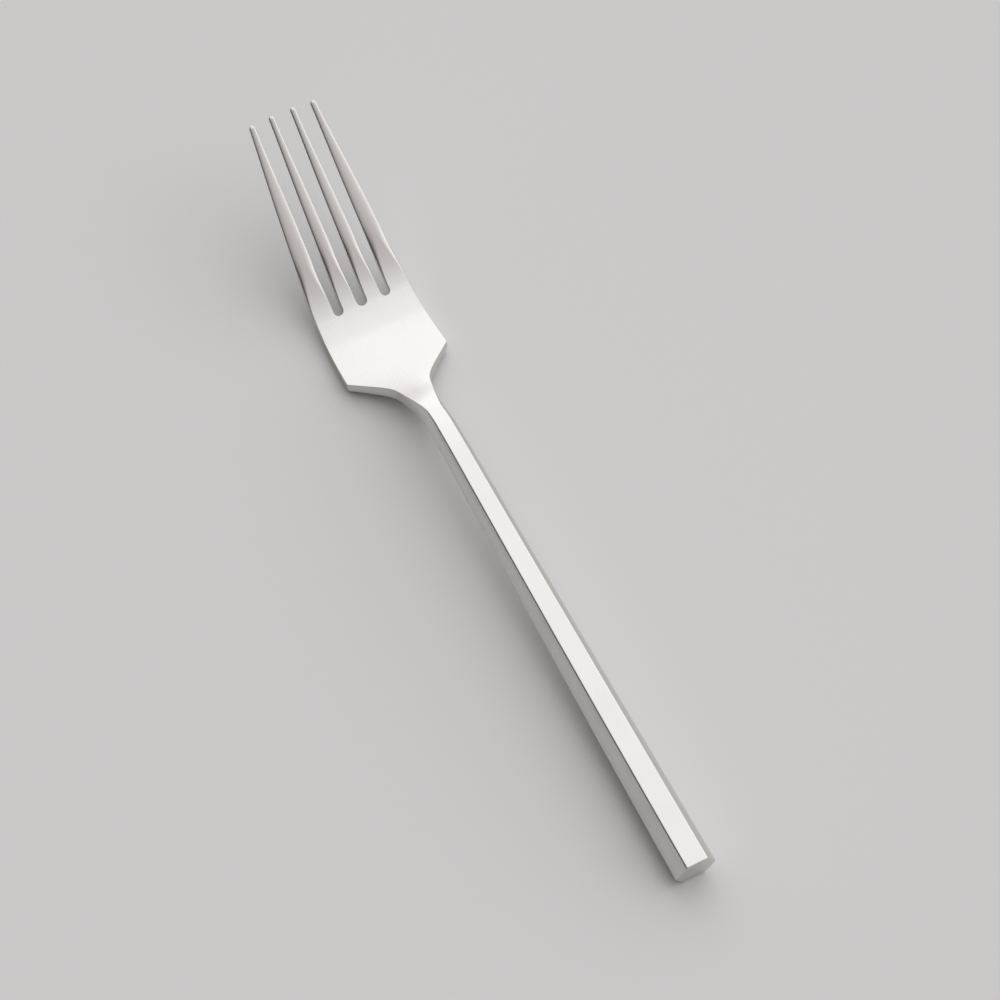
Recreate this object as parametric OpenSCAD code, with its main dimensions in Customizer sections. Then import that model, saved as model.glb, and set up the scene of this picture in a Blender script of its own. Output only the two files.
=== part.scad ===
// Dinner fork with a tapered six-sided hollow handle and a forged four-tine head.
// The fork lies along Y, tips towards +Y, and rests on z = 0 as it does on a table.
// Stations are distances from the handle's end face along Y.
// The top line is the middle of the top face, and each cross-section hangs below it.

/* [Handle] */
// Length of the handle, from the end face to the weld with the head
handle_length = 122; // [100:1:140]
// Width across the side corners at the end face
end_width = 10; // [9:0.1:11]
// Height of the end face
end_height = 9; // [8:0.1:10]
// Width of the top flat at the end face
end_flat_width = 5.2; // [4.4:0.1:6]
// Width across the side corners at the weld
neck_width = 6.5; // [6.2:0.1:7.4]
// Height at the weld
neck_height = 5.8; // [5.5:0.1:6.6]
// Width of the top flat at the weld
neck_flat_width = 3.6; // [3.3:0.1:4.2]
// How late the taper comes along the handle, 1 for an even taper
taper_share = 1.25; // [1:0.05:1.5]

/* [Handle shells] */
// Wall of the two pressed half shells
shell_wall = 0.8; // [0.7:0.05:0.9]
// Height of the lip that locates one half shell in the other
seam_lap = 1; // [0.6:0.1:1.4]
// Gap at each fit between the pieces
fit_gap = 0.05; // [0.03:0.01:0.08]

/* [End cap] */
// Thickness of the cap's outer plate
cap_thickness = 1.2; // [0.8:0.1:2]
// Depth of the cap's spigot inside the shells
cap_spigot_depth = 3; // [2:0.5:6]

/* [Head] */
// Length of the head beyond the weld, measured along the table
head_length = 78; // [72:1:84]
// Width across the shoulders
shoulder_width = 25.9; // [23:0.1:28]
// Distance of the shoulders from the weld
shoulder_distance = 18.9; // [17:0.1:21]
// Width across the four tips
tip_span = 16.6; // [15.5:0.1:18]
// How far each long side bulges beyond a straight line
side_bulge = 0.75; // [0.4:0.05:1.2]
// Radius of each shoulder corner
shoulder_corner_radius = 0.7; // [0.3:0.1:1.2]
// Thickness of the blade behind the tines
blade_thickness = 2.5; // [2.2:0.1:3]
// Height of the eased edge under the blade and along the outer tines
under_edge = 0.4; // [0.2:0.05:0.6]
// Thickness of the tines at their tips
tip_thickness = 1.5; // [1.2:0.1:2]

/* [Tines] */
// Length of the slots, measured along the table
slot_length = 41.7; // [36:0.1:44]
// Width of the middle slot at its root
middle_slot_root_width = 2.5; // [2:0.1:3]
// Width of the middle slot at the tips
middle_slot_tip_width = 4.5; // [4:0.1:5]
// Width of the two side slots at their roots
side_slot_root_width = 2.3; // [2:0.1:2.8]
// Width of the two side slots at the tips
side_slot_tip_width = 4.1; // [3.6:0.1:4.4]
// Distance of a side slot from the middle at its root
side_slot_root_offset = 6.1; // [5.6:0.1:6.4]
// Distance of a side slot from the middle at the tips
side_slot_tip_offset = 5.25; // [5:0.05:5.4]
// How much shorter the two outer tines are
outer_tine_setback = 0.4; // [0:0.1:1]

/* [Side view] */
// Angle at which the top line leaves the end face
end_angle = 1.3; // [0.5:0.1:3]
// Distance of the arch point before the weld
arch_distance = 12; // [8:1:16]
// Height of the top line at the arch point
arch_height = 12.9; // [11.5:0.1:14]
// Angle of the top line at the arch point
arch_angle = 3; // [1:0.1:4]
// Distance of the crest before the weld
crest_distance = 4; // [2:0.5:6]
// Height of the crest, the highest place of the handle
crest_height = 13; // [12.6:0.05:14.4]
// Distance of the dip point beyond the weld
dip_distance = 8.5; // [7:0.5:11]
// Height of the top line at the dip point
dip_height = 8; // [7:0.1:9.5]
// Downward angle of the top line at the dip point
dip_angle = 30; // [24:1:40]
// Distance of the belly beyond the weld, where the head touches the table
belly_distance = 29; // [26:0.5:32]
// Distance of the rise point beyond the weld
rise_distance = 46; // [42:0.5:50]
// Height of the top line at the rise point
rise_height = 9.1; // [7:0.1:10]
// Upward angle of the top line at the rise point
rise_angle = 33; // [24:1:38]
// Height of the top line at the inner tips
tip_height = 29.2; // [22:0.1:32]
// Upward angle of the top line at the tips
tip_angle = 34; // [24:1:42]

/* [Tang] */
// Depth of the head's spigot inside the shells
neck_spigot_depth = 5; // [3:0.5:8]
// Length of the tang beyond the spigot
tang_length = 42; // [30:1:55]
// Width of the tang
tang_width = 2.4; // [2:0.1:2.8]
// Height of the tang
tang_height = 2; // [1.6:0.1:2.4]
// Diameter of the two holes that key the tang into the core
key_hole_diameter = 1.3; // [1:0.1:1.4]

/* [Hidden] */

$fn = 64;
// Number of steps in each smooth stretch
handle_steps = 20;
neck_steps = 26;
blade_steps = 14;
tine_steps = 18;
edge_steps = 16;
tang_steps = 8;
plug_steps = 2;
// Length by which a cut runs past what it cuts
overrun = 1;
// Length by which a spigot or tang is rooted in the piece that carries it
root_overlap = 0.5;
// How sharply the neck's side corner runs into the head's side wall
blend_power = 8;
// Shares of the tang's length where its two key holes lie
key_hole_shares = [0.3, 0.75];

fork_length = handle_length + head_length;
neck_station = handle_length;
arch_station = neck_station - arch_distance;
crest_station = neck_station - crest_distance;
dip_station = neck_station + dip_distance;
belly_station = neck_station + belly_distance;
rise_station = neck_station + rise_distance;
shoulder_station = neck_station + shoulder_distance;
tip_station = fork_length;
slot_root_station = tip_station - slot_length;
tang_end_station = neck_station - neck_spigot_depth - tang_length;
core_start_station = cap_thickness + cap_spigot_depth + fit_gap;
core_end_station = neck_station - neck_spigot_depth - fit_gap;

// The shoulder's hollow curve is one arc that starts along the neck's flat
shoulder_rise = (shoulder_width - neck_flat_width) / 2;
shoulder_run = shoulder_distance;
shoulder_arc_radius = (pow(shoulder_run, 2) + pow(shoulder_rise, 2)) / (2 * shoulder_rise);

// Cubic curve between two stations with a given height and slope at each
function curve(s, s0, z0, m0, s1, z1, m1) =
    let(run = s1 - s0, t = (s - s0) / run)
    z0 * (2 * pow(t, 3) - 3 * pow(t, 2) + 1)
    + run * m0 * (pow(t, 3) - 2 * pow(t, 2) + t)
    + z1 * (3 * pow(t, 2) - 2 * pow(t, 3))
    + run * m1 * (pow(t, 3) - pow(t, 2));

// Height of the top line
function top_line(s) =
    s < arch_station
        ? curve(s, 0, end_height, tan(end_angle), arch_station, arch_height, tan(arch_angle))
    : s < crest_station
        ? curve(s, arch_station, arch_height, tan(arch_angle), crest_station, crest_height, 0)
    : s < dip_station
        ? curve(s, crest_station, crest_height, 0, dip_station, dip_height, -tan(dip_angle))
    : s < belly_station
        ? curve(s, dip_station, dip_height, -tan(dip_angle), belly_station, blade_thickness, 0)
    : s < rise_station
        ? curve(s, belly_station, blade_thickness, 0, rise_station, rise_height, tan(rise_angle))
    : curve(s, rise_station, rise_height, tan(rise_angle), tip_station, tip_height, tan(tip_angle));

// Direction of the top line, from its heights a small step either side
probe = blade_thickness / 50;
function top_angle(s) = atan2(top_line(s + probe) - top_line(s - probe), 2 * probe);

function ease(t) = let(c = min(1, max(0, t))) c * c * (3 - 2 * c);
function blend(from, to, share) = from + (to - from) * share;

// Handle sizes at a station: half flat, half width, half height
function taper(s) = pow(min(1, max(0, s / neck_station)), taper_share);
function flat_half(s) = blend(end_flat_width, neck_flat_width, taper(s)) / 2;
function side_half(s) = blend(end_width, neck_width, taper(s)) / 2;
function height_half(s) = blend(end_height, neck_height, taper(s)) / 2;

// Head sizes at a station: half width of the top face and thickness
function shoulder_curve(s) =
    let(run = min(shoulder_run, max(0, s - neck_station)))
    neck_flat_width / 2 + shoulder_arc_radius - sqrt(pow(shoulder_arc_radius, 2) - pow(run, 2));
function long_side(s) =
    let(t = (s - shoulder_station) / (tip_station - shoulder_station))
    blend(shoulder_width, tip_span, t) / 2 + side_bulge * 4 * t * (1 - t);
function head_half(s) = s < shoulder_station ? shoulder_curve(s) : long_side(s);
function head_side_half(s) =
    pow(pow(head_half(s), blend_power) + pow(neck_width / 2, blend_power), 1 / blend_power);
function head_thickness(s) =
    s < slot_root_station
        ? blend(neck_height, blade_thickness, ease((s - neck_station) / shoulder_distance))
    : blend(blade_thickness, tip_thickness, (s - slot_root_station) / slot_length);

// The handle's lower bevels run out under the shoulders into the eased edge
function shoulder_share(s) = ease((s - neck_station) / shoulder_run);
function head_corner_depth(s) =
    s < shoulder_station
        ? blend(neck_height / 2, blade_thickness - under_edge, shoulder_share(s))
    : head_thickness(s) - under_edge;
function head_under_half(s) =
    let(lean = blend((neck_width - neck_flat_width) / neck_height, 1, shoulder_share(s)))
    head_side_half(s) - lean * (head_thickness(s) - head_corner_depth(s));

// A point below the top line: distance sideways, depth below the top face
function placed(s, side, depth) =
    let(a = top_angle(s))
    [side, s - fork_length / 2 + depth * sin(a), top_line(s) - depth * cos(a)];

// Six-sided section of the head, from its top face down to its underside
function head_section(s) =
    let(
        top = head_half(s),
        wide = head_side_half(s),
        corner = head_corner_depth(s),
        under = head_under_half(s),
        thick = head_thickness(s)
    )
    [[top, 0], [wide, corner], [under, thick], [-under, thick], [-wide, corner], [-top, 0]];

// The same section drawn in by a wall and lying as deep as the wall is thick
function inner_section(s, wall) =
    let(
        flat = flat_half(s),
        wide = side_half(s),
        half = height_half(s),
        bevel = norm([wide - flat, half]),
        inner_flat = flat - wall * (bevel - (wide - flat)) / half,
        inner_wide = wide - wall * bevel / half
    )
    [
        [inner_flat, wall], [inner_wide, half], [inner_flat, 2 * half - wall],
        [-inner_flat, 2 * half - wall], [-inner_wide, half], [-inner_flat, wall]
    ];

// Half-shell section with a rebate at its seam edge, right side first and then mirrored
function mirrored(right) = concat(
    right,
    [for (i = [len(right) - 1:-1:0]) [-right[i][0], right[i][1]]]
);
function upper_section(s) =
    let(
        flat = flat_half(s),
        wide = side_half(s),
        half = height_half(s),
        lean = (wide - flat) / half,
        across = shell_wall * norm([wide - flat, half]) / half,
        inner = inner_section(s, shell_wall),
        lap = seam_lap + fit_gap,
        step = wide - across / 2
    )
    concat(
        [[-flat, 0], [flat, 0], [wide, half], [step, half]],
        [[step - lean * lap, half - lap], [wide - across - lean * lap, half - lap]],
        [inner[0], inner[5]],
        [[-(wide - across - lean * lap), half - lap], [-(step - lean * lap), half - lap]],
        [[-step, half], [-wide, half]]
    );
function lower_section(s) =
    let(
        flat = flat_half(s),
        wide = side_half(s),
        half = height_half(s),
        lean = (wide - flat) / half,
        across = shell_wall * norm([wide - flat, half]) / half,
        inner = inner_section(s, shell_wall),
        lip = wide - across / 2 - fit_gap
    )
    concat(
        [[flat, 2 * half], [-flat, 2 * half], [-wide, half], [-lip, half]],
        [[-(lip - lean * seam_lap), half - seam_lap]],
        [[-(wide - across - lean * seam_lap), half - seam_lap]],
        [[-(wide - across), half], inner[3], inner[2], [wide - across, half]],
        [[wide - across - lean * seam_lap, half - seam_lap]],
        [[lip - lean * seam_lap, half - seam_lap], [lip, half], [wide, half]]
    );

// Triangles that close a section whose corners form a convex ring
function fan(n) = [for (k = [1:n - 2]) [0, k, k + 1]];

// Triangles that close the two half-shell sections
upper_end_faces = concat(
    [for (k = [2:5]) [1, k, k + 1]],
    [[0, 1, 6]],
    [for (k = [6:10]) [0, k, k + 1]]
);
lower_end_faces = [
    [0, 1, 7], [0, 7, 8],
    [1, 2, 3], [1, 3, 6], [1, 6, 7], [3, 4, 5], [3, 5, 6],
    [0, 12, 13], [0, 9, 12], [0, 8, 9], [10, 11, 12], [9, 10, 12]
];

// Solid skin through a row of sections that all have the same number of corners
module loft(stations, sections, end_faces) {
    n = len(sections[0]);
    last = len(stations) - 1;
    points = [
        for (i = [0:last])
            for (p = sections[i])
                placed(stations[i], p[0], p[1])
    ];
    sides = [
        for (i = [0:last - 1])
            for (k = [0:n - 1])
                let(a = i * n + k, b = i * n + (k + 1) % n)
                each [[a, b + n, b], [a, a + n, b + n]]
    ];
    end = [for (f = end_faces) [last * n + f[2], last * n + f[1], last * n + f[0]]];
    polyhedron(points = points, faces = concat(end_faces, sides, end), convexity = 8);
}

function even_stations(from, to, steps) = [for (i = [0:steps]) blend(from, to, i / steps)];

module handle_loft(from, to, wall, steps) {
    stations = even_stations(from, to, steps);
    loft(stations, [for (s = stations) inner_section(s, wall)], fan(6));
}

// Straight bar that follows the handle's middle line
module tang_bar(from, to, grow) {
    stations = even_stations(from, to, tang_steps);
    loft(stations, [
        for (s = stations)
            let(x = tang_width / 2 + grow, d = height_half(s), y = tang_height / 2 + grow)
            [[x, d - y], [x, d + y], [-x, d + y], [-x, d - y]]
    ], fan(4));
}

// Upright cylinders at the tang's two key holes
module key_holes(diameter) {
    for (share = key_hole_shares) {
        s = tang_end_station + tang_length * share;
        translate(placed(s, 0, height_half(s)))
            cylinder(d = diameter, h = 2 * tang_height, center = true);
    }
}

// Plan of one slot: a round root and two sides that open towards the tips
module slot_plan(root_offset, tip_offset, root_width, tip_width) {
    root_centre = slot_root_station + root_width / 2;
    shares = [for (i = [0:edge_steps]) i / edge_steps];
    mouth = tip_station + overrun;
    run = tip_station - root_centre;
    middle = function (t) blend(root_offset, tip_offset, t);
    half = function (t) blend(root_width, tip_width, t * t) / 2;
    translate([root_offset, root_centre])
        circle(d = root_width);
    polygon(concat(
        [for (t = shares) [middle(t) + half(t), root_centre + run * t]],
        [[middle(1) + half(1), mouth], [middle(1) - half(1), mouth]],
        [for (i = [edge_steps:-1:0]) [middle(shares[i]) - half(shares[i]), root_centre + run * shares[i]]]
    ));
}

// Round end of one tine, the plan that the tine keeps
module tip_plan(middle, width, end_station) {
    radius = width / 2;
    translate([middle, end_station - radius])
        circle(r = radius);
}

module head_plan_cut() {
    inner_left = middle_slot_tip_width / 2;
    inner_right = side_slot_tip_offset - side_slot_tip_width / 2;
    outer_left = side_slot_tip_offset + side_slot_tip_width / 2;
    outer_right = tip_span / 2;
    inner_width = inner_right - inner_left;
    outer_width = outer_right - outer_left;
    outer_end = tip_station - outer_tine_setback;
    difference() {
        translate([-shoulder_width, tip_station - inner_width / 2])
            square([2 * shoulder_width, inner_width / 2 + overrun]);
        for (side = [-1, 1])
            tip_plan(side * (inner_left + inner_right) / 2, inner_width, tip_station);
    }
    for (side = [-1, 1])
        difference() {
            translate([side * (outer_left + outer_width / 2) - outer_width, outer_end - outer_width / 2])
                square([2 * outer_width, outer_width / 2 + outer_tine_setback + overrun]);
            tip_plan(side * (outer_left + outer_right) / 2, outer_width, outer_end);
        }
}

// What turns a shoulder's point into a rounded corner
module shoulder_corner_cut() {
    r = shoulder_corner_radius;
    in_angle = atan2(
        shoulder_curve(shoulder_station) - shoulder_curve(shoulder_station - r),
        r
    );
    out_angle = atan2(
        long_side(shoulder_station + r) - long_side(shoulder_station),
        r
    );
    half_turn = (in_angle - out_angle) / 2;
    reach = r * tan(half_turn);
    depth = r / cos(half_turn);
    away = (in_angle + out_angle) / 2 - 90;
    centre = [
        shoulder_width / 2 + depth * sin(away),
        shoulder_station + depth * cos(away)
    ];
    for (side = [-1, 1])
        difference() {
            polygon([
                [side * (shoulder_width / 2 + r / 4), shoulder_station],
                [side * (shoulder_width / 2 - reach * sin(in_angle)), shoulder_station - reach * cos(in_angle)],
                [side * centre[0], centre[1]],
                [side * (shoulder_width / 2 + reach * sin(out_angle)), shoulder_station + reach * cos(out_angle)]
            ]);
            translate([side * centre[0], centre[1]])
                circle(r = r);
        }
}

module through_cut() {
    translate([0, -fork_length / 2, -overrun])
        linear_extrude(height = tip_height + 2 * overrun)
            children();
}

module head_blank() {
    stations = concat(
        even_stations(neck_station, shoulder_station, neck_steps),
        [for (i = [1:blade_steps]) blend(shoulder_station, slot_root_station, i / blade_steps)],
        [for (i = [1:tine_steps]) blend(slot_root_station, tip_station, i / tine_steps)]
    );
    loft(stations, [for (s = stations) head_section(s)], fan(6));
}

module head() color("gainsboro") {
    difference() {
        head_blank();
        through_cut() {
            slot_plan(0, 0, middle_slot_root_width, middle_slot_tip_width);
            for (side = [-1, 1])
                slot_plan(
                    side * side_slot_root_offset,
                    side * side_slot_tip_offset,
                    side_slot_root_width,
                    side_slot_tip_width
                );
            head_plan_cut();
            shoulder_corner_cut();
        }
    }
    handle_loft(
        neck_station - neck_spigot_depth,
        neck_station + root_overlap,
        shell_wall + fit_gap,
        plug_steps
    );
    difference() {
        tang_bar(tang_end_station, neck_station - neck_spigot_depth + root_overlap, 0);
        key_holes(key_hole_diameter);
    }
}

module handle_upper_shell() color("silver") {
    stations = even_stations(cap_thickness, neck_station, handle_steps);
    loft(stations, [for (s = stations) upper_section(s)], upper_end_faces);
}

module handle_lower_shell() color("darkgray") {
    stations = even_stations(cap_thickness, neck_station, handle_steps);
    loft(stations, [for (s = stations) lower_section(s)], lower_end_faces);
}

module handle_core() color("dimgray") {
    difference() {
        handle_loft(core_start_station, core_end_station, shell_wall + fit_gap, handle_steps);
        difference() {
            tang_bar(tang_end_station - fit_gap, neck_station, fit_gap);
            key_holes(key_hole_diameter - 2 * fit_gap);
        }
    }
}

module end_cap() color("lightgray") {
    handle_loft(0, cap_thickness, 0, plug_steps);
    handle_loft(
        cap_thickness - root_overlap,
        cap_thickness + cap_spigot_depth,
        shell_wall + fit_gap,
        plug_steps
    );
}

head();
handle_upper_shell();
handle_lower_shell();
handle_core();
end_cap();
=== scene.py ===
from functools import lru_cache
from math import atan, atan2, cos, hypot, pi, radians, sin, sqrt, tan

import bmesh
import bpy
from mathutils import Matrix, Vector


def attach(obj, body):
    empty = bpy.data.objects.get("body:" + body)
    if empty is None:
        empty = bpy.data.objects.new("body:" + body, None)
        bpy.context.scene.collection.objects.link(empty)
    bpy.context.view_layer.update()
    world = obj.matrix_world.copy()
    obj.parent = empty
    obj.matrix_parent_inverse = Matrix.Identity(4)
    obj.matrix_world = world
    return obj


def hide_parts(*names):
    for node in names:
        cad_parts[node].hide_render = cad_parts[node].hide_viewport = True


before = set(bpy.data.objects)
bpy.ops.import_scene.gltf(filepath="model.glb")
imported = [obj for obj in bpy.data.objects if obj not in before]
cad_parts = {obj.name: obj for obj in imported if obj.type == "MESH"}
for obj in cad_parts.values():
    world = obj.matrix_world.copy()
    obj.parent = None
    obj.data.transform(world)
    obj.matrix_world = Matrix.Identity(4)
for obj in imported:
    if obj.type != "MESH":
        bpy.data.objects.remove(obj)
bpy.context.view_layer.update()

scene = bpy.context.scene
scene.view_settings.view_transform = "Standard"


# camera, where the photograph was taken from

camera = {
    "place": (-0.17326, -0.30362, 0.68654),  # metres
    "turn": (27.1565, -1.3475, -27.8291),  # degrees
    "lens": 121.86,
    "sensor": 36,  # millimetres, as the lens
    "clip": (0.01, 20),  # metres
}


def placeCamera():
    data = bpy.data.cameras.new("camera")
    data.sensor_width = camera["sensor"]
    data.lens = camera["lens"]
    data.clip_start, data.clip_end = camera["clip"]
    eye = bpy.data.objects.new("camera", data)
    eye.location = camera["place"]
    eye.rotation_euler = [radians(a) for a in camera["turn"]]
    scene.collection.objects.link(eye)
    scene.camera = eye


placeCamera()
print("camera placed")


# the fork's line seen from the side, in millimetres and degrees
# stations are distances along the table from the handle's end face

line = {
    "length": 200,
    "handle": 122,
    "endHeight": 9,
    "endAngle": 1.3,
    "archBefore": 12,
    "archHeight": 12.9,
    "archAngle": 3,
    "crestBefore": 4,
    "crestHeight": 13,
    "dipAfter": 8.5,
    "dipHeight": 8,
    "dipAngle": 30,
    "bellyAfter": 29,
    "bellyHeight": 2.5,
    "riseAfter": 46,
    "riseHeight": 9.1,
    "riseAngle": 33,
    "tipHeight": 29.2,
    "tipAngle": 34,
    "probe": 0.05,  # how far each way its slope is taken
}
neck = line["handle"]
tipStation = line["length"]


def slope(name):
    return tan(radians(line[name]))


linePoints = [  # station, height and slope
    (0, line["endHeight"], slope("endAngle")),
    (neck - line["archBefore"], line["archHeight"], slope("archAngle")),
    (neck - line["crestBefore"], line["crestHeight"], 0),
    (neck + line["dipAfter"], line["dipHeight"], -slope("dipAngle")),
    (neck + line["bellyAfter"], line["bellyHeight"], 0),
    (neck + line["riseAfter"], line["riseHeight"], slope("riseAngle")),
    (tipStation, line["tipHeight"], slope("tipAngle")),
]


def mix(a, b, t):
    return a + (b - a) * t


def clamp(t):
    return min(1, max(0, t))


def ease(t):
    t = clamp(t)
    return t * t * (3 - 2 * t)


@lru_cache(None)
def topLine(s):  # a smooth curve through the points above
    i = sum(s >= p[0] for p in linePoints[1:-1])
    (s0, z0, m0), (s1, z1, m1) = linePoints[i], linePoints[i + 1]
    run = s1 - s0
    t = (s - s0) / run
    return (
        z0 * (2 * t**3 - 3 * t**2 + 1)
        + run * m0 * (t**3 - 2 * t**2 + t)
        + z1 * (3 * t**2 - 2 * t**3)
        + run * m1 * (t**3 - t**2)
    )


def placed(x, s, depth):  # from flat work to the bent fork, in metres
    probe = line["probe"]
    lean = atan2(topLine(s + probe) - topLine(s - probe), 2 * probe)
    y = s - tipStation / 2 + depth * sin(lean)
    z = topLine(s) - depth * cos(lean)
    return Vector((x, y, z)) / 1000


# sections: both the handle and the head have a six-sided section with rolled edges

handle = {
    "endWidth": 10,
    "endHeight": 9,
    "endFlat": 5.2,
    "neckWidth": 6.5,
    "neckHeight": 5.8,
    "neckFlat": 3.6,
    "taper": 1.25,
    "wall": 0.8,
    "fit": 0.05,
    "seamLap": 1,
    "capPlate": 1.2,
    "steps": 72,
    "crown": 0.15,  # how far a bevel bulges
    "fullCrown": 2,  # a face narrower than this bulges less
    "openRoom": 10,  # too wide to hold back a roll
}
rolls = {  # how far each edge is rolled back
    "handleEnd": 0.3,
    "handleNeck": 0.28,
    "blade": 0.14,
    "bladeBefore": 2,  # how far before the neck the edge begins to sharpen
    "bladeRun": 6,
    "side": 0.4,
    "under": 0.45,
    "bladeSide": 0.4,  # of the eased edge under the blade
    "bladeUnder": 0.5,
    "tineAfter": 2,  # how far past the slot roots the tines begin to round
    "tineRun": 13,
    "tineDepth": 0.42,  # of half the tine's width
    "tineShare": 0.95,
    "tineLean": 0.55,
    "tineUnder": 0.5,  # of the thickness
    "tineEased": 0.6,  # of the eased edge under the tine
    "downLimit": (0.45, 0.8),  # of the wall, on the blade and on a tine
    "underLimit": (0.25, 0.35),  # of half the width
    "steps": 8,
    "wallSteps": 4,
    "sharpAngle": 32,  # degrees
}
head = {
    "shoulderWidth": 25.9,
    "shoulderRun": 19.15,
    "neckFlare": 0.29,  # how fast the neck widens, once it has begun to
    "flareStart": 3.4,
    "shoulderSlope": 1.34,
    "shoulderBlend": 3.5,  # higher is a sharper bend between neck and shoulder
    "tipSpan": 16.6,
    "sideBulge": 0.75,
    "cornerRadius": 0.7,
    "blade": line["bellyHeight"],
    "wallBlend": 8,  # higher is a sharper bend between the neck's side and the blade's
    "crownShare": 0.3,  # of the handle's crown
    "crownRun": 8,
    "underEdge": 0.4,
    "tipThickness": 1.5,
    "spigot": 5,
    "tang": 42,
    "tangWidth": 2.4,
    "tangHeight": 2,
    "tangInside": 0.4,  # how far it runs on into the spigot
    "tangSteps": 12,
    "keyHoles": (0.3, 0.75),  # of the tang, from its tip
    "keyRadius": 0.65,
    "keySteps": 24,
    "neckSteps": 40,
    "cornerSteps": 6,
    "sideSteps": 30,
}
slots = {
    "length": 41.7,
    "middleRoot": 2.5,
    "middleTip": 4.5,
    "sideRoot": 2.3,
    "sideTip": 4.1,
    "rootOffset": 6.1,
    "tipOffset": 5.25,
    "rootMargin": 1.2,
    "innerEnd": tipStation - 0.1,
    "outerEnd": tipStation - 0.35,
    "tipFuller": 0.22,  # how much a tine is fuller on each side at its tip
    "tipPower": 12,  # higher keeps it to the last few millimetres
    "sideSteps": 34,
    "roundSteps": 8,
}
shoulder = neck + head["shoulderRun"]
slotRoot = tipStation - slots["length"]
samePlace = 0.001  # points nearer than this are one


def neckHalf(s):  # the gently flared neck on its own
    run = max(0, s - neck)
    return handle["neckFlat"] / 2 + head["neckFlare"] * run**2 / (run + head["flareStart"])


def blended(a, b, power):  # the larger of two, with a soft bend where they cross
    return (a**power + b**power) ** (1 / power)


def shoulderReach():  # what the straight part needs, to be blended to the full width
    power = head["shoulderBlend"]
    return ((head["shoulderWidth"] / 2) ** power - neckHalf(shoulder) ** power) ** (1 / power)


def handleSizes(s):
    share = clamp(s / neck) ** handle["taper"]
    flat = mix(handle["endFlat"], handle["neckFlat"], share) / 2
    wide = mix(handle["endWidth"], handle["neckWidth"], share) / 2
    half = mix(handle["endHeight"], handle["neckHeight"], share) / 2
    return flat, wide, half


def longSide(s):
    t = (s - shoulder) / (tipStation - shoulder)
    width = mix(head["shoulderWidth"], head["tipSpan"], t)
    return width / 2 + head["sideBulge"] * 4 * t * (1 - t)


def carriedOn(end, start, s):  # the handle's taper, dying away along the neck
    t = clamp((s - neck) / head["shoulderRun"])
    slopeThere = (handle[start] - handle[end]) * handle["taper"] / neck
    return slopeThere * head["shoulderRun"] * t * (1 - t) ** 2


def headHalf(s):
    if s > shoulder:
        return longSide(s)
    straight = max(0, shoulderReach() - head["shoulderSlope"] * (shoulder - s))
    half = blended(neckHalf(s), straight, head["shoulderBlend"])
    return half + carriedOn("endFlat", "neckFlat", s) / 2


def headThick(s):
    if s > slotRoot:
        return mix(head["blade"], head["tipThickness"], (s - slotRoot) / slots["length"])
    share = ease((s - neck) / head["shoulderRun"])
    thick = mix(handle["neckHeight"], head["blade"], share)
    return thick + carriedOn("endHeight", "neckHeight", s)


def tineShare(s):
    return ease((s - slotRoot - rolls["tineAfter"]) / rolls["tineRun"])


def headCorners(s, room):  # outwards from the top edge, and down
    share = ease((s - neck) / head["shoulderRun"])
    thick = headThick(s)
    top = headHalf(s)
    narrow = (handle["neckWidth"] + carriedOn("endWidth", "neckWidth", s)) / 2
    wide = blended(top, narrow, head["wallBlend"])
    eased = mix(thick / 2, head["underEdge"], share)
    lean = mix((handle["neckWidth"] - handle["neckFlat"]) / handle["neckHeight"], 1, share)
    if s > shoulder:
        eased = head["underEdge"] * thick / head["blade"]
        eased = mix(eased, rolls["tineUnder"] * thick, tineShare(s))
        lean = mix(1, rolls["tineLean"] * room / eased, tineShare(s))
    under = wide - top - eased * lean
    return [(0, 0), (wide - top, thick - eased), (under, thick)]


def handleCorners(s):
    flat, wide, half = handleSizes(s)
    return [(flat, 0), (wide, half), (flat, 2 * half)]


def rollSizes(s, room, corners):  # along the top, down the side, at the side corner, under it
    alongHandle = mix(rolls["handleEnd"], rolls["handleNeck"], s / neck)
    sharpened = ease((s - neck + rolls["bladeBefore"]) / rolls["bladeRun"])
    crisp = mix(alongHandle, rolls["blade"], sharpened)
    tine = tineShare(s)
    inwards = mix(crisp, rolls["tineShare"] * room, tine)
    down = mix(crisp, rolls["tineDepth"] * room, tine)
    late = ease((s - neck) / head["shoulderRun"])
    side = mix(rolls["side"], head["underEdge"] * rolls["bladeSide"], late)
    under = mix(rolls["under"], head["underEdge"] * rolls["bladeUnder"], late)
    if s > shoulder:
        wall, eased = corners[1][1], corners[2][1] - corners[1][1]
        side = mix(side, rolls["tineEased"] * eased, tine)
        under = mix(under, rolls["tineEased"] * eased, tine)
        down = min(down, mix(*rolls["downLimit"], tine) * (wall - side))
    return inwards, down, side, min(under, mix(*rolls["underLimit"], tine) * room)


def fillet(a, corner, b, share):  # a point on a rounded corner
    ux, uy = corner[0] - a[0], corner[1] - a[1]
    vx, vy = b[0] - corner[0], b[1] - corner[1]
    turn = atan2(ux * vy - uy * vx, ux * vx + uy * vy)
    pull = 2 * share * (1 - share) * cos(turn / 2)
    parts = (1 - share) ** 2, pull, share**2
    return [sum(w * p[k] for w, p in zip(parts, (a, corner, b))) / sum(parts) for k in (0, 1)]


def bowed(a, b, bow, share):  # a point on a wall that bulges slightly
    run, drop = b[0] - a[0], b[1] - a[1]
    full = min(1, hypot(run, drop) / handle["fullCrown"]) ** 2
    out = full * bow * 4 * share * (1 - share) / hypot(run, drop)
    return [a[0] + run * share + drop * out, a[1] + drop * share - run * out]


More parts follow.
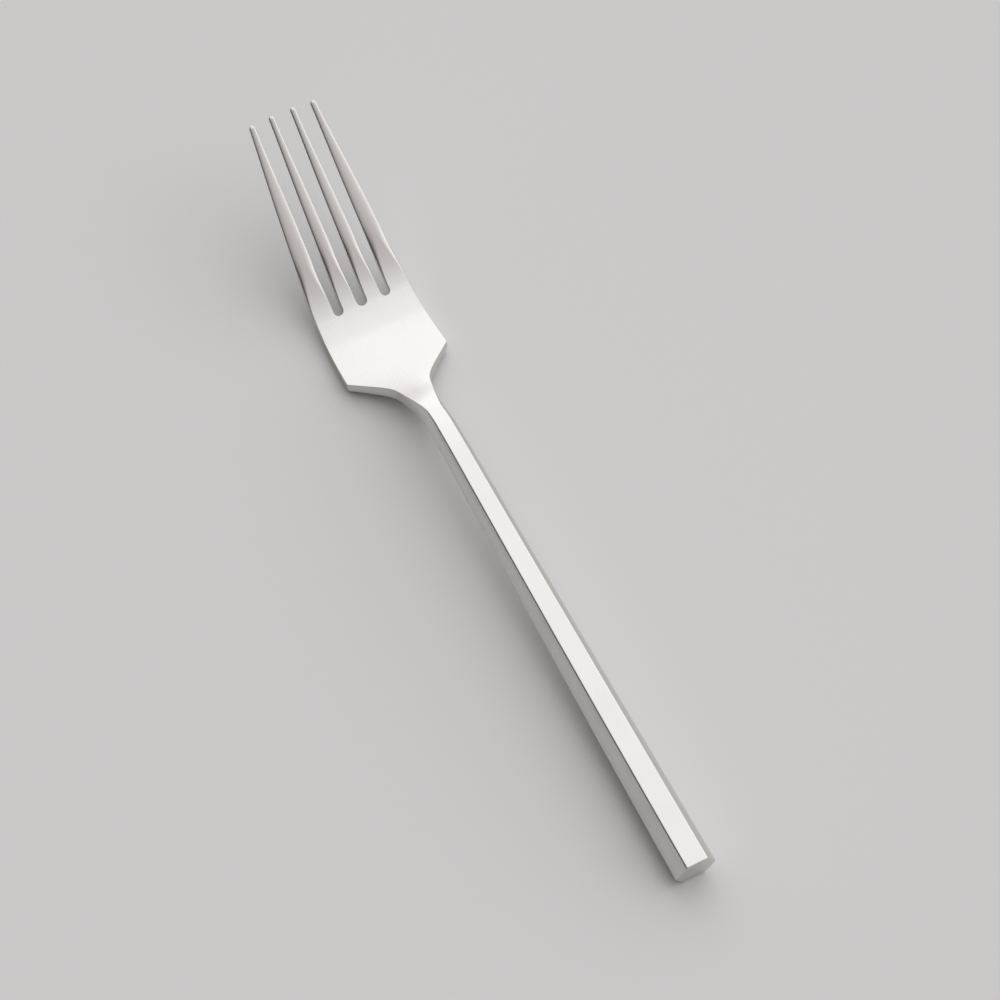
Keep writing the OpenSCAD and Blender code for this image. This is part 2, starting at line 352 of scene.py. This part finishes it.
# rings run round the section from the top edge to the bottom edge
# even parts are rolled edges, odd parts the walls between them
turnSteps = rolls["steps"] + rolls["steps"] % 2
wallSteps = rolls["wallSteps"]
rings = []
for part in range(5):
    if part % 2:
        rings += [(part, i / wallSteps) for i in range(1, wallSteps)]
    else:
        rings += [(part, i / turnSteps) for i in range(turnSteps + 1)]
seamRing = rings.index((2, 0.5))


def sectionPoints(corners, sizes, bow):
    inwards, down, side, under = sizes
    top, middle, bottom = corners

    def towards(a, b, reach):
        full = hypot(b[0] - a[0], b[1] - a[1])
        return [mix(a[k], b[k], reach / full) for k in (0, 1)]

    ends = [
        (top[0] - inwards, top[1]),
        towards(top, middle, down),
        towards(middle, top, side),
        towards(middle, bottom, side),
        towards(bottom, middle, under),
        (bottom[0] - under, bottom[1]),
    ]
    points = []
    for part, share in rings:
        if part % 2:
            points.append(bowed(ends[part], ends[part + 1], bow, share))
        else:
            points.append(fillet(ends[part], corners[part // 2], ends[part + 1], share))
    return points


@lru_cache(None)
def headSection(s, room):
    bow = handle["crown"] * mix(1, head["crownShare"], ease((s - neck) / head["crownRun"]))
    corners = headCorners(s, room)
    return sectionPoints(corners, rollSizes(s, room, corners), bow)


@lru_cache(None)
def handleSection(s):
    corners = handleCorners(s)
    sizes = rollSizes(s, handle["openRoom"], corners)
    return sectionPoints(corners, sizes, handle["crown"])


def mirrored(right):  # a half outline made whole
    return right + [(-x, depth) for x, depth in reversed(right)]


def pushOut(bm, faces, keep=False):  # extrudes a sheet and returns its new faces
    out = bmesh.ops.extrude_face_region(bm, geom=faces)["geom"]
    if not keep:
        bmesh.ops.delete(bm, geom=faces, context="FACES")
    return [f for f in out if isinstance(f, bmesh.types.BMFace)]


def layOnLine(bm):  # bends flat work into the fork's line, and keeps where each point lay
    flat = bm.verts.layers.float_vector.new("flatWork")
    for v in bm.verts:
        v[flat] = v.co / 1000
        v.co = placed(v.co.x, v.co.y, -v.co.z)


def finishPiece(bm, name, node, material):
    layOnLine(bm)
    bmesh.ops.recalc_face_normals(bm, faces=bm.faces)
    mesh = bpy.data.meshes.new(name)
    bm.to_mesh(mesh)
    bm.free()
    mesh.polygons.foreach_set("use_smooth", [True] * len(mesh.polygons))
    mesh.set_sharp_from_angle(angle=radians(rolls["sharpAngle"]))
    piece = bpy.data.objects.new(name, mesh)
    scene.collection.objects.link(piece)
    mesh.materials.append(material)
    shading = piece.modifiers.new("evenShading", "WEIGHTED_NORMAL")
    shading.keep_sharp = True
    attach(piece, "root")
    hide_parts(node)
    print(name, len(mesh.polygons), "faces")


# materials

steel = {
    "colour": (0.662, 0.641, 0.626, 1),
    "roughness": 0.27,
    "brushAcross": 5200,  # brush lines in a metre
    "brushAlong": 70,
    "brushGrain": 0.6,
    "brushHeight": 0.0000002,  # metres
    "brushRoughness": 0.02,
    "mottleSize": 95,
    "mottleGrain": 0.55,
    "mottleDepth": 0.02,
    "handling": 0.06,
    "handledTimes": 3,  # how much larger a mark is than the mottling
    "handledTwist": 1.2,
    "handledLevels": (0.45, 0.72),  # of the noise, where a mark begins and is full
}


def addNode(tree, kind, inputs=None, **settings):
    made = tree.nodes.new(kind)
    for key, value in settings.items():
        setattr(made, key, value)
    for key, value in (inputs or {}).items():
        if isinstance(value, bpy.types.NodeSocket):
            tree.links.new(value, made.inputs[key])
        else:
            made.inputs[key].default_value = value
    return made


def calculate(tree, operation, *values):
    return addNode(tree, "ShaderNodeMath", dict(enumerate(values)), operation=operation).outputs[0]


def spread(tree, value, low, high):  # 0 to 1 between the two levels
    inputs = {"Value": value, "From Min": low, "From Max": high}
    made = addNode(tree, "ShaderNodeMapRange", inputs, interpolation_type="SMOOTHSTEP")
    return made.outputs["Result"]


def noise(tree, place, size, detail, grain=0.5, twist=0):
    inputs = {"Vector": place, "Scale": size, "Detail": detail}
    inputs.update({"Roughness": grain, "Distortion": twist})
    return addNode(tree, "ShaderNodeTexNoise", inputs).outputs["Fac"]


def blendColours(tree, factor, a, b):
    made = addNode(tree, "ShaderNodeMix", {0: factor, 6: a, 7: b}, data_type="RGBA")
    return made.outputs[2]


def makeBrushed():  # satin surface: fine lines along the fork, soft mottling and handling marks
    group = bpy.data.node_groups.new("satinSurface", "ShaderNodeTree")
    for way, name, kind in (
        ("INPUT", "Steel", "Color"),
        ("INPUT", "Base Roughness", "Float"),
        ("INPUT", "Wear", "Float"),
        ("OUTPUT", "Colour", "Color"),
        ("OUTPUT", "Roughness", "Float"),
        ("OUTPUT", "Height", "Float"),
    ):
        group.interface.new_socket(name, in_out=way, socket_type="NodeSocket" + kind)
    given = group.nodes.new("NodeGroupInput").outputs
    place = addNode(group, "ShaderNodeTexCoord").outputs["Object"]
    flat = addNode(group, "ShaderNodeAttribute", attribute_name="flatWork").outputs["Vector"]
    stretch = (steel["brushAcross"], steel["brushAlong"], steel["brushAcross"])
    lines = addNode(group, "ShaderNodeMapping", {"Vector": flat, "Scale": stretch}).outputs[0]
    brush = noise(group, lines, 1, 3, grain=steel["brushGrain"])
    mottle = noise(group, place, steel["mottleSize"], 4, grain=steel["mottleGrain"])
    markSize = steel["mottleSize"] / steel["handledTimes"]
    handled = noise(group, place, markSize, 2, twist=steel["handledTwist"])
    handled = spread(group, handled, *steel["handledLevels"])
    mottleDepth, brushDepth = steel["mottleDepth"], steel["brushRoughness"]
    depth = calculate(group, "MULTIPLY_ADD", mottle, mottleDepth * 2, 1 - mottleDepth)
    toned = {0: given["Steel"], "Scale": depth}
    tone = addNode(group, "ShaderNodeVectorMath", toned, operation="SCALE")
    worn = calculate(group, "MULTIPLY", handled, given["Wear"])
    rough = calculate(group, "ADD", given["Base Roughness"], worn)
    offMiddle = calculate(group, "SUBTRACT", brush, 0.5)
    rough = calculate(group, "MULTIPLY_ADD", offMiddle, brushDepth * 2, rough)
    result = group.nodes.new("NodeGroupOutput").inputs
    group.links.new(tone.outputs[0], result["Colour"])
    group.links.new(rough, result["Roughness"])
    group.links.new(brush, result["Height"])
    return group


brushed = makeBrushed()


def makeSteel(name):
    material = bpy.data.materials.new(name)
    material.use_nodes = True
    tree = material.node_tree
    shader = tree.nodes["Principled BSDF"]
    surface = addNode(tree, "ShaderNodeGroup", node_tree=brushed)
    surface.inputs["Steel"].default_value = steel["colour"]
    surface.inputs["Base Roughness"].default_value = steel["roughness"]
    surface.inputs["Wear"].default_value = steel["handling"]
    raised = {"Height": surface.outputs["Height"], "Distance": steel["brushHeight"]}
    bump = addNode(tree, "ShaderNodeBump", raised)
    tree.links.new(surface.outputs["Colour"], shader.inputs["Base Color"])
    tree.links.new(surface.outputs["Roughness"], shader.inputs["Roughness"])
    tree.links.new(bump.outputs["Normal"], shader.inputs["Normal"])
    shader.inputs["Metallic"].default_value = 1
    return material


headSteel = makeSteel("headSteel")
handleSteel = makeSteel("handleSteel")
print("steel made")


filler = {  # hard-set, with fine pores and a little settling
    "colour": (0.32, 0.30, 0.28, 1),
    "pale": (0.37, 0.35, 0.325, 1),
    "roughness": 0.85,
    "grainSize": 1800,
    "cloudSize": 160,
    "cloudLevels": (0.35, 0.65),
    "grainHeight": 0.00003,  # metres
}


def makeFiller():
    material = bpy.data.materials.new("hardFiller")
    material.use_nodes = True
    tree = material.node_tree
    shader = tree.nodes["Principled BSDF"]
    place = addNode(tree, "ShaderNodeTexCoord").outputs["Object"]
    cloud = spread(tree, noise(tree, place, filler["cloudSize"], 3), *filler["cloudLevels"])
    grain = noise(tree, place, filler["grainSize"], 2)
    colour = blendColours(tree, cloud, filler["colour"], filler["pale"])
    bump = addNode(tree, "ShaderNodeBump", {"Height": grain, "Distance": filler["grainHeight"]})
    tree.links.new(colour, shader.inputs["Base Color"])
    tree.links.new(bump.outputs["Normal"], shader.inputs["Normal"])
    shader.inputs["Roughness"].default_value = filler["roughness"]
    return material


def fillHandle():  # the core keeps its shape and gets its own finish
    material = makeFiller()
    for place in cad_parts["handle_core"].material_slots:
        place.material = material
    print("handle filled")


fillHandle()


# handle shells

def shellOutline(s, upper):  # along the outside, then back by the lap and the inside
    flat, wide, half = handleSizes(s)
    section = handleSection(s)
    lean = (wide - flat) / half
    bevel = hypot(wide - flat, half)
    across = handle["wall"] * bevel / half
    innerFlat = flat - handle["wall"] * (bevel - (wide - flat)) / half
    if upper:
        lap = handle["seamLap"] + handle["fit"]
        step = wide - across / 2
        outer = section[: seamRing + 1]
        inner = [
            (step, half),
            (step - lean * lap, half - lap),
            (wide - across - lean * lap, half - lap),
            (innerFlat, handle["wall"]),
        ]
    else:
        lap = handle["seamLap"]
        lip = wide - across / 2 - handle["fit"]
        outer = section[:seamRing - 1:-1]
        inner = [
            (lip, half),
            (lip - lean * lap, half - lap),
            (wide - across - lean * lap, half - lap),
            (wide - across, half),
            (innerFlat, 2 * half - handle["wall"]),
        ]
    return mirrored([*outer, *inner])


def makeShell(name, node, upper):
    start = handle["capPlate"]
    bm = bmesh.new()
    place = bm.verts.layers.int.new("place")
    for i, (x, depth) in enumerate(shellOutline(start, upper)):
        corner = bm.verts.new((x, start, -depth))
        corner[place] = i
    end = bm.faces.new(bm.verts)
    far = pushOut(bm, [end], keep=True)[0]
    bmesh.ops.translate(bm, vec=(0, neck - start, 0), verts=far.verts)
    long = [e for e in bm.edges if e.verts[0].co.y != e.verts[1].co.y]
    bmesh.ops.subdivide_edges(bm, edges=long, cuts=handle["steps"] - 1, use_grid_fill=True)
    outlines = {}
    for v in bm.verts:  # each cut across gets the outline of its own station
        s = round(v.co.y, 4)
        if s not in outlines:
            outlines[s] = shellOutline(s, upper)
        x, depth = outlines[s][v[place]]
        v.co = (x, s, -depth)
    bm.verts.layers.int.remove(place)
    finishPiece(bm, name, node, handleSteel)


makeShell("handleUpperShell", "handle_upper_shell", True)
makeShell("handleLowerShell", "handle_lower_shell", False)


# end cap

cap = {
    "plate": handle["capPlate"],
    "spigot": 3,
    "rim": 0.22,
    "rimSteps": 4,
}


def makeEndCap():  # a plate with a rounded rim, and a spigot behind it
    bm = bmesh.new()
    plate = cap["plate"]
    place = bm.verts.layers.int.new("place")
    for i, (x, depth) in enumerate(mirrored(handleSection(plate))):
        corner = bm.verts.new((x, plate, -depth))
        corner[place] = i
    back = bm.faces.new(bm.verts)
    outline = mirrored(handleSection(0))
    front = pushOut(bm, [back], keep=True)[0]
    for v in front.verts:
        x, depth = outline[v[place]]
        v.co = (x, 0, -depth)
    bmesh.ops.bevel(
        bm, geom=list(front.edges), offset=cap["rim"], offset_type="OFFSET",
        segments=cap["rimSteps"], profile=0.5, material=-1, affect="EDGES", clamp_overlap=False,
    )
    half = handleSizes(plate)[2]
    k = 1 - (handle["wall"] + handle["fit"]) / half
    back = pushOut(bm, [back])[0]
    for v in back.verts:
        v.co.x *= k
        v.co.z = -half + (v.co.z + half) * k
    back = pushOut(bm, [back])[0]
    bmesh.ops.translate(bm, vec=(0, cap["spigot"], 0), verts=back.verts)
    bm.verts.layers.int.remove(place)
    finishPiece(bm, "handleEndCap", "end_cap", handleSteel)


makeEndCap()


# head

def slotEdges(s, which):  # near and far side of a slot from the fork's middle
    radius = slots[which + "Root"] / 2
    start = slotRoot + radius
    t = clamp((s - start) / (tipStation - start))
    half = mix(radius, slots[which + "Tip"] / 2, t * t)
    if s < start:
        half = sqrt(max(0, radius**2 - (start - s) ** 2))
    middle = mix(slots["rootOffset"], slots["tipOffset"], t) if which == "side" else 0
    return middle - half, middle + half


def tineEdges(s, outer):
    if outer:
        near, far = slotEdges(s, "side")[1], longSide(s)
    else:
        near, far = slotEdges(s, "middle")[1], slotEdges(s, "side")[0]
    fuller = slots["tipFuller"] * clamp((s - slotRoot) / slots["length"]) ** slots["tipPower"]
    return near - fuller, far + fuller


def tineTip(outer):  # where the round end of a tine begins, and its two sides there
    end = slots["outerEnd" if outer else "innerEnd"]
    s = end
    for _ in range(6):  # settles in a few rounds
        near, far = tineEdges(s, outer)
        s = end - (far - near) / 2
    return s, near, far


def shares(steps):
    return [(i + 1) / steps for i in range(steps)]


def stripRows(outer):  # station, near side, far side and half the width there
    corner = (head["shoulderWidth"] / 2, shoulder)
    turn = atan(head["shoulderSlope"])
    setback = head["cornerRadius"] * tan(turn / 2)
    rows = []
    for share in [0] + shares(head["neckSteps"]):
        s = mix(neck, shoulder - setback * cos(turn), share)
        rows.append((headHalf(s), s))
    after = (longSide(shoulder + setback), shoulder + setback)
    before = rows[-1]
    rows += [fillet(before, corner, after, share) for share in shares(head["cornerSteps"])]
    for share in shares(head["sideSteps"]):
        s = mix(after[1], slotRoot - slots["rootMargin"], share)
        rows.append((longSide(s), s))
    rows.append((longSide(slotRoot), slotRoot))
    converging = slots["rootOffset"] / longSide(slotRoot)
    strip = []
    for half, s in rows:
        middle = half * converging
        strip.append((s, middle if outer else 0, half if outer else middle, half))
    rootRadius = slots["middleRoot"] / 2
    rounded = shares(slots["roundSteps"])
    tipStart, near, far = tineTip(outer)
    stations = [slotRoot + rootRadius * (1 - cos(pi / 2 * share)) for share in rounded]
    for share in shares(slots["sideSteps"]):
        stations.append(mix(slotRoot + rootRadius, tipStart, share))
    for s in stations:
        a, b = tineEdges(s, outer)
        strip.append((s, a, b, (b - a) / 2))
    half = (far - near) / 2
    for share in rounded:
        left = half * cos(pi / 2 * share)
        s = tipStart + half * sin(pi / 2 * share)
        strip.append((s, (near + far) / 2 - left, (near + far) / 2 + left, half))
    return strip


# four flat strips lie side by side, one for each tine, and share a sheet up to the slots
# the sheet is pushed out once for each ring of the section
def makeHead():
    bm = bmesh.new()
    base = bm.verts.layers.float_vector.new("base")
    outwards = bm.verts.layers.float_vector.new("outwards")
    for outer in (False, True):
        strip = stripRows(outer)
        last = len(strip) - 1
        for side in (-1, 1):
            grid = bmesh.ops.create_grid(bm, x_segments=1, y_segments=last, size=1)["verts"]
            for v in grid:
                s, near, far, room = strip[round((v.co.y + 1) / 2 * last)]
                x = side * (far if v.co.x * side > 0 else near)
                v[base] = (x, s, room)
                v.co = (x, s, 0)
    bmesh.ops.remove_doubles(bm, verts=bm.verts, dist=samePlace)
    for edge in bm.edges:  # which way the sheet's edge faces at each point
        if len(edge.link_faces) == 1:
            a, b = (v.co for v in edge.verts)
            across = Vector((b.y - a.y, a.x - b.x, 0)).normalized()
            if across.dot((a + b) / 2 - edge.link_faces[0].calc_center_median()) < 0:
                across = -across
            for v in edge.verts:
                v[outwards] += across
    for v in bm.verts:
        if v.co.y < neck + samePlace:  # the neck's end stays flat, and only its sides move
            atSide = abs(v.co.x) > handle["neckFlat"] / 2 - samePlace
            v[outwards] = (v.co.x if atSide else 0, 0, 0)
        v[outwards].normalize()

    def toRing(verts, i):
        for v in verts:
            x, s, room = v[base]
            out, depth = headSection(round(s, 3), round(room, 3))[i]
            there = s + v[outwards].y * out  # and as thick as the head is there
            v.co = (x + v[outwards].x * out, there, -depth * headThick(there) / headThick(s))

    toRing(bm.verts, 0)
    sheet = bm.faces[:]
    for i in range(1, len(rings)):
        sheet = pushOut(bm, sheet, keep=i == 1)
        toRing({v for f in sheet for v in f.verts}, i)
    ends = [f for f in bm.faces if all(v.co.y < neck + samePlace for v in f.verts)]
    end = bmesh.ops.dissolve_faces(bm, faces=ends, use_verts=False)["region"][0]
    addSpigot(bm, end)
    addTang(bm)
    for layer in (base, outwards):
        bm.verts.layers.float_vector.remove(layer)
    finishPiece(bm, "forkHead", "head", headSteel)


def addSpigot(bm, end):  # plugs the handle
    gap = handle["wall"] + handle["fit"]
    outside = handleSizes(neck)[2]
    depth = outside
    for s in (neck, neck - head["spigot"]):
        half = handleSizes(s)[2]
        size = (half - gap) / outside
        end = pushOut(bm, [end])[0]
        for v in end.verts:
            v.co = (v.co.x * size, s, -half + (v.co.z + depth) * size)
        outside, depth = half - gap, half


def addTang(bm):  # a bar with two holes, through which the filler keys it
    root = neck - head["spigot"]
    tip = root - head["tang"]
    half = head["tangWidth"] / 2
    steps, turns, radius = head["tangSteps"], head["keySteps"], head["keyRadius"]
    stations = [mix(root + head["tangInside"], tip, i / steps) for i in range(steps + 1)]
    loops = [[(half, s) for s in stations] + [(-half, s) for s in reversed(stations)]]
    for share in head["keyHoles"]:
        middle = tip + share * head["tang"]
        angles = [2 * pi * i / turns for i in range(turns)]
        loops.append([(radius * cos(a), middle + radius * sin(a)) for a in angles])
    edges = []
    for loop in loops:
        verts = [bm.verts.new((x, s, head["tangHeight"] / 2 - handleSizes(s)[2])) for x, s in loop]
        edges += [bm.edges.new((verts[i - 1], verts[i])) for i in range(len(verts))]
    filled = bmesh.ops.triangle_fill(bm, use_beauty=True, edges=edges)["geom"]
    under = pushOut(bm, [f for f in filled if isinstance(f, bmesh.types.BMFace)], keep=True)
    lower = list({v for f in under for v in f.verts})
    bmesh.ops.translate(bm, vec=(0, 0, -head["tangHeight"]), verts=lower)


makeHead()


# floor and light

studio = {
    "floor": (0.72, 0.716, 0.714, 1),
    "floorRoughness": 0.9,
    "floorReach": 4,  # metres each way
    "floorDrop": 0.00002,  # metres below the fork
    "warm": (1, 0.935, 0.925, 1),  # where the room is dark
    "warmLevels": (0.4, 1.1),
    "darkSide": 0.05,  # strengths
    "nearSide": 0.55,
    "middle": 0.78,
    "farSide": 0.18,
    "horizon": 0.45,
    # where each part of the light begins and where it is full, on a sphere of radius 1
    "aheadFrom": (-0.75, -0.1),
    "asideFrom": (0.25, 0.75),
    "farFrom": (0.28, 0.42),
    "horizonAhead": (0.75, 1),
    "horizonBelow": (0.32, 0.12),
    "leftFrom": (-0.8, 0.3),
}


def makeFloor():
    bm = bmesh.new()
    bmesh.ops.create_grid(bm, x_segments=1, y_segments=1, size=studio["floorReach"])
    bmesh.ops.translate(bm, vec=(0, 0, -studio["floorDrop"]), verts=bm.verts)
    mesh = bpy.data.meshes.new("floor")
    bm.to_mesh(mesh)
    bm.free()
    floor = bpy.data.objects.new("floor", mesh)
    scene.collection.objects.link(floor)
    material = bpy.data.materials.new("paleFloor")
    material.use_nodes = True
    shader = material.node_tree.nodes["Principled BSDF"]
    shader.inputs["Base Color"].default_value = studio["floor"]
    shader.inputs["Roughness"].default_value = studio["floorRoughness"]
    shader.inputs["Specular IOR Level"].default_value = 0
    mesh.materials.append(material)


def makeLight():  # one soft light all round, bright ahead and on the right, dark on the left
    world = bpy.data.worlds.new("studio")
    scene.world = world
    world.use_nodes = True
    tree = world.node_tree
    sky = tree.nodes["Background"]
    way = addNode(tree, "ShaderNodeTexCoord").outputs["Generated"]
    axes = addNode(tree, "ShaderNodeSeparateXYZ", {0: way}).outputs

    def facing(axis, name):
        return spread(tree, axes[axis], *studio[name])

    def raised(share, height, ground):
        return calculate(tree, "MULTIPLY_ADD", share, height, ground)

    bright = calculate(tree, "MAXIMUM", facing("Y", "aheadFrom"), facing("X", "asideFrom"))
    lit = raised(bright, studio["middle"], studio["nearSide"])
    lit = raised(facing("Y", "farFrom"), studio["farSide"], lit)
    low = calculate(tree, "MULTIPLY", facing("Y", "horizonAhead"), facing("Z", "horizonBelow"))
    lit = raised(low, studio["horizon"], lit)
    aboveDark = calculate(tree, "SUBTRACT", lit, studio["darkSide"])
    level = raised(aboveDark, facing("X", "leftFrom"), studio["darkSide"])
    tree.links.new(level, sky.inputs["Strength"])
    white = (1, 1, 1, 1)
    tint = blendColours(tree, spread(tree, level, *studio["warmLevels"]), studio["warm"], white)
    tree.links.new(tint, sky.inputs["Color"])


makeFloor()
makeLight()
